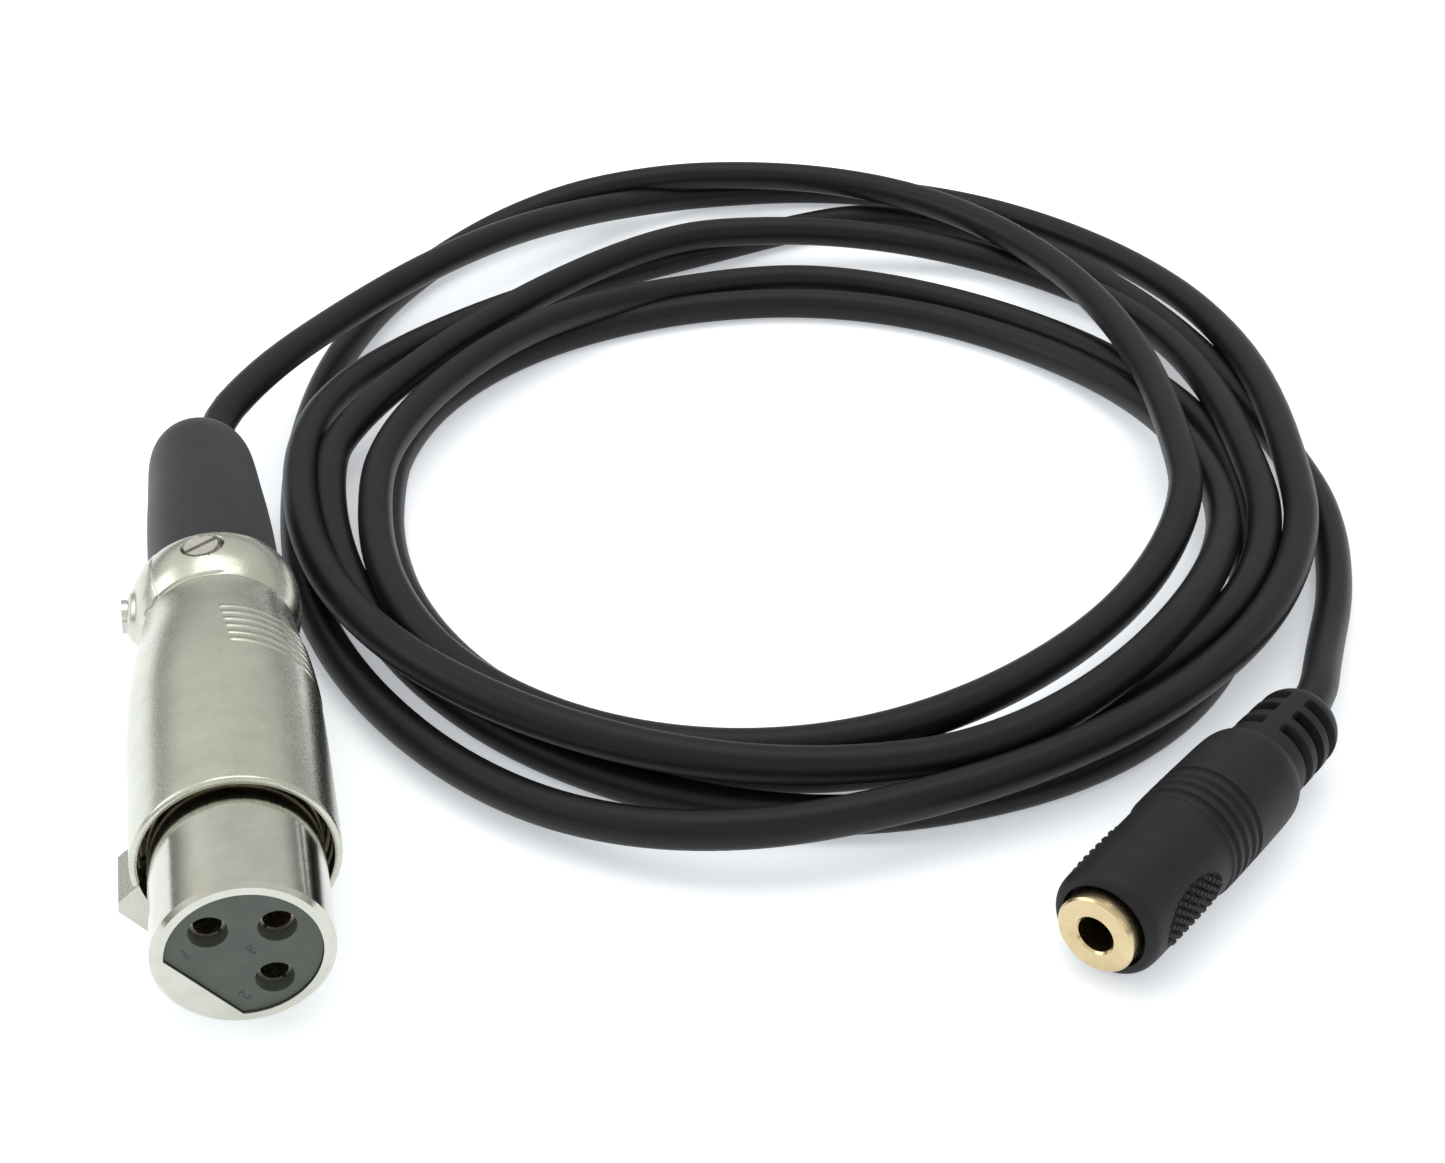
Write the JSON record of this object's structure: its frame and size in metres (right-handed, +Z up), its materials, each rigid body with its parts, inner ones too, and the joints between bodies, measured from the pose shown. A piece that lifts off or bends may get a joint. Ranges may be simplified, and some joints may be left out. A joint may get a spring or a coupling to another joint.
{
  "type": "microphone cable with socket connector and jack socket",
  "caption": "Three-pole socket connector with a push latch on a coiled round cable that ends in an inline jack socket.",
  "frame": {"origin": "on the floor under the middle of the connector's box, without the loose cable and what is on it", "axes": "+Y along the connector from its mating face to its boot, +Z up, coil towards +X"},
  "size_m": [0.144, 0.1791, 0.0195],
  "materials": {
    "nickel_shell": "satin nickel plate on die-cast metal",
    "nickel_barrel": "smooth nickel plate",
    "steel": "bright zinc",
    "insert_plastic": "dark green-grey moulded plastic",
    "contact_metal": "plated",
    "boot_rubber": "matt",
    "core_red": "extruded",
    "core_white": "extruded",
    "core_green": "extruded",
    "cable_jacket": "satin soft plastic",
    "jack_plastic": "fine grained",
    "inner_plastic": "moulded",
    "ring_metal": "pale gold plate"
  },
  "bodies": {
    "connector": {"outer_shell": "nickel_shell", "front_barrel": "nickel_barrel", "latch_pin": "steel", "latch_spring": "steel", "clamp_screws": "steel", "insert_screw": "steel", "cable_clamp": "steel", "insert_block": "insert_plastic", "socket_contact_1": "contact_metal", "socket_contact_2": "contact_metal", "socket_contact_3": "contact_metal", "rubber_boot": "boot_rubber", "core_wire_1": "core_red", "core_wire_2": "core_white", "core_wire_3": "core_green", "cable_start": "cable_jacket", "cable_coil": "cable_jacket", "cable_end": "cable_jacket", "jack_overmould": "jack_plastic", "jack_inner_mould": "inner_plastic", "jack_sleeve": "ring_metal", "jack_insulator": "jack_plastic", "jack_tip_spring": "contact_metal", "jack_ring_spring": "contact_metal", "jack_tip_wire": "core_red", "jack_ring_wire": "core_white", "jack_sleeve_wire": "core_green"},
    "latch": {"latch_lever": "nickel_shell"}
  },
  "joints": [
    {"name": "latch_press", "type": "hinge", "parent": "connector", "child": "latch", "pos_m": [-0.00349, -0.021, 0.00653], "axis": [-0.6293, 0, 0.7771], "range_deg": [0, 3.5], "stiffness_Nm_per_rad": 0.6, "springref_deg": -6.88, "deforming": ["latch_spring"]}
  ]
}
